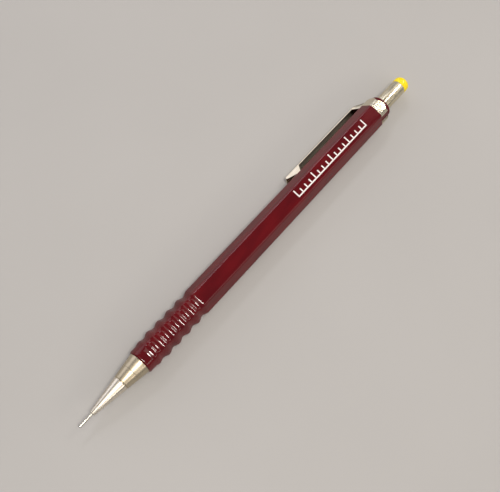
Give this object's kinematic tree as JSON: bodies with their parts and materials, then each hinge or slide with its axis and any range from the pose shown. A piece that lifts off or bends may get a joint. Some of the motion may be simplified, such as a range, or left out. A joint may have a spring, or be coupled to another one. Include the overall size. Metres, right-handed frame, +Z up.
{
  "type": "mechanical pencil",
  "caption": "Push-button mechanical pencil with a six-sided moulded barrel, waved grip, turned metal nose cone with a fixed lead sleeve, sheet-metal clip and capped eraser",
  "frame": {"origin": "centre of the open end of the lead sleeve, on the pencil's axis", "axes": "+X runs along the pencil from the tip to the button, +Z is up when the pencil lies on a table on one barrel edge and the clip, +Y completes a right-handed frame and points to the clip's side"},
  "size_m": [0.1445, 0.0107, 0.008],
  "materials": {
    "barrel_plastic": "glossy burgundy moulded plastic",
    "nickel_plate": "turned and plated, warm nickel",
    "clip_steel": "bright nickel-plated sheet steel",
    "button_steel": "drawn and polished tube",
    "sleeve_steel": "drawn stainless tube",
    "brass": "machined",
    "spring_steel": "drawn spring wire",
    "bush_plastic": "moulded acetal",
    "tube_plastic": "moulded polypropylene",
    "rubber_black": "soft rubber",
    "graphite": "drawn polymer and graphite lead",
    "eraser_white": "soft white vinyl",
    "plug_yellow": "glossy yellow moulded plastic"
  },
  "bodies": {
    "barrel": {"barrel": "barrel_plastic", "clip_band": "clip_steel", "connector_bush": "bush_plastic", "chuck_spring": "spring_steel"},
    "nose": {"nose_cone": "nickel_plate", "sleeve_pipe": "sleeve_steel", "lead_retainer": "rubber_black"},
    "clutch": {"clutch_ring": "brass"},
    "chuck": {"chuck_stem": "brass", "reservoir_tube": "tube_plastic", "spare_leads": "graphite"},
    "jaw_1": {"chuck_jaw_1": "brass"},
    "jaw_2": {"chuck_jaw_2": "brass"},
    "jaw_3": {"chuck_jaw_3": "brass"},
    "lead": {"writing_lead": "graphite"},
    "button": {"button_tube": "button_steel", "button_plug": "plug_yellow"},
    "eraser": {"eraser": "eraser_white", "eraser_ferrule": "sleeve_steel", "cleaning_needle": "sleeve_steel"},
    "clip": {"clip_strip": "clip_steel"}
  },
  "joints": [
    {"name": "button_press", "type": "slide", "parent": "barrel", "child": "chuck", "axis": [-1, 0, 0], "range_m": [0, 0.0034], "stiffness_N_per_m": 1000, "springref_m": -0.003, "deforming": ["chuck_spring"]},
    {"name": "ring_travel", "type": "slide", "parent": "barrel", "child": "clutch", "axis": [-1, 0, 0], "range_m": [0, 0.00115]},
    {"name": "jaw_1_open", "type": "hinge", "parent": "chuck", "child": "jaw_1", "pos_m": [0.0265, -0.00005, 0.0006], "axis": [0, 0.997, 0.077], "range_deg": [0, 2.1]},
    {"name": "jaw_2_open", "type": "hinge", "parent": "chuck", "child": "jaw_2", "pos_m": [0.0265, -0.00049, -0.00034], "axis": [0, -0.5652, 0.825], "range_deg": [0, 2.1]},
    {"name": "jaw_3_open", "type": "hinge", "parent": "chuck", "child": "jaw_3", "pos_m": [0.0265, 0.00054, -0.00026], "axis": [0, -0.4318, -0.9019], "range_deg": [0, 2.1]},
    {"name": "lead_feed", "type": "slide", "parent": "barrel", "child": "lead", "axis": [-1, 0, 0], "range_m": [0, 0.02]},
    {"name": "button_pull", "type": "slide", "parent": "chuck", "child": "button", "axis": [1, 0, 0], "range_m": [0, 0.045]},
    {"name": "eraser_pull", "type": "slide", "parent": "chuck", "child": "eraser", "axis": [1, 0, 0], "range_m": [0, 0.027]},
    {"name": "cone_unscrew", "type": "slide", "parent": "barrel", "child": "nose", "axis": [-1, 0, 0], "range_m": [0, 0.01]},
    {"name": "clip_flex", "type": "hinge", "parent": "barrel", "child": "clip", "pos_m": [0.1295, 0.00356, -0.00171], "axis": [0, -0.4318, -0.9019], "range_deg": [0, 5], "stiffness_Nm_per_rad": 1.8, "springref_deg": -1.15}
  ],
  "couplings": [
    {"joint": "ring_travel", "follows": "button_press", "ratio": 0.33529},
    {"joint": "jaw_1_open", "follows": "button_press", "rad_per_m": 10.267},
    {"joint": "jaw_2_open", "follows": "button_press", "rad_per_m": 10.267},
    {"joint": "jaw_3_open", "follows": "button_press", "rad_per_m": 10.267},
    {"joint": "eraser_pull", "follows": "button_pull", "ratio": 0.6}
  ]
}
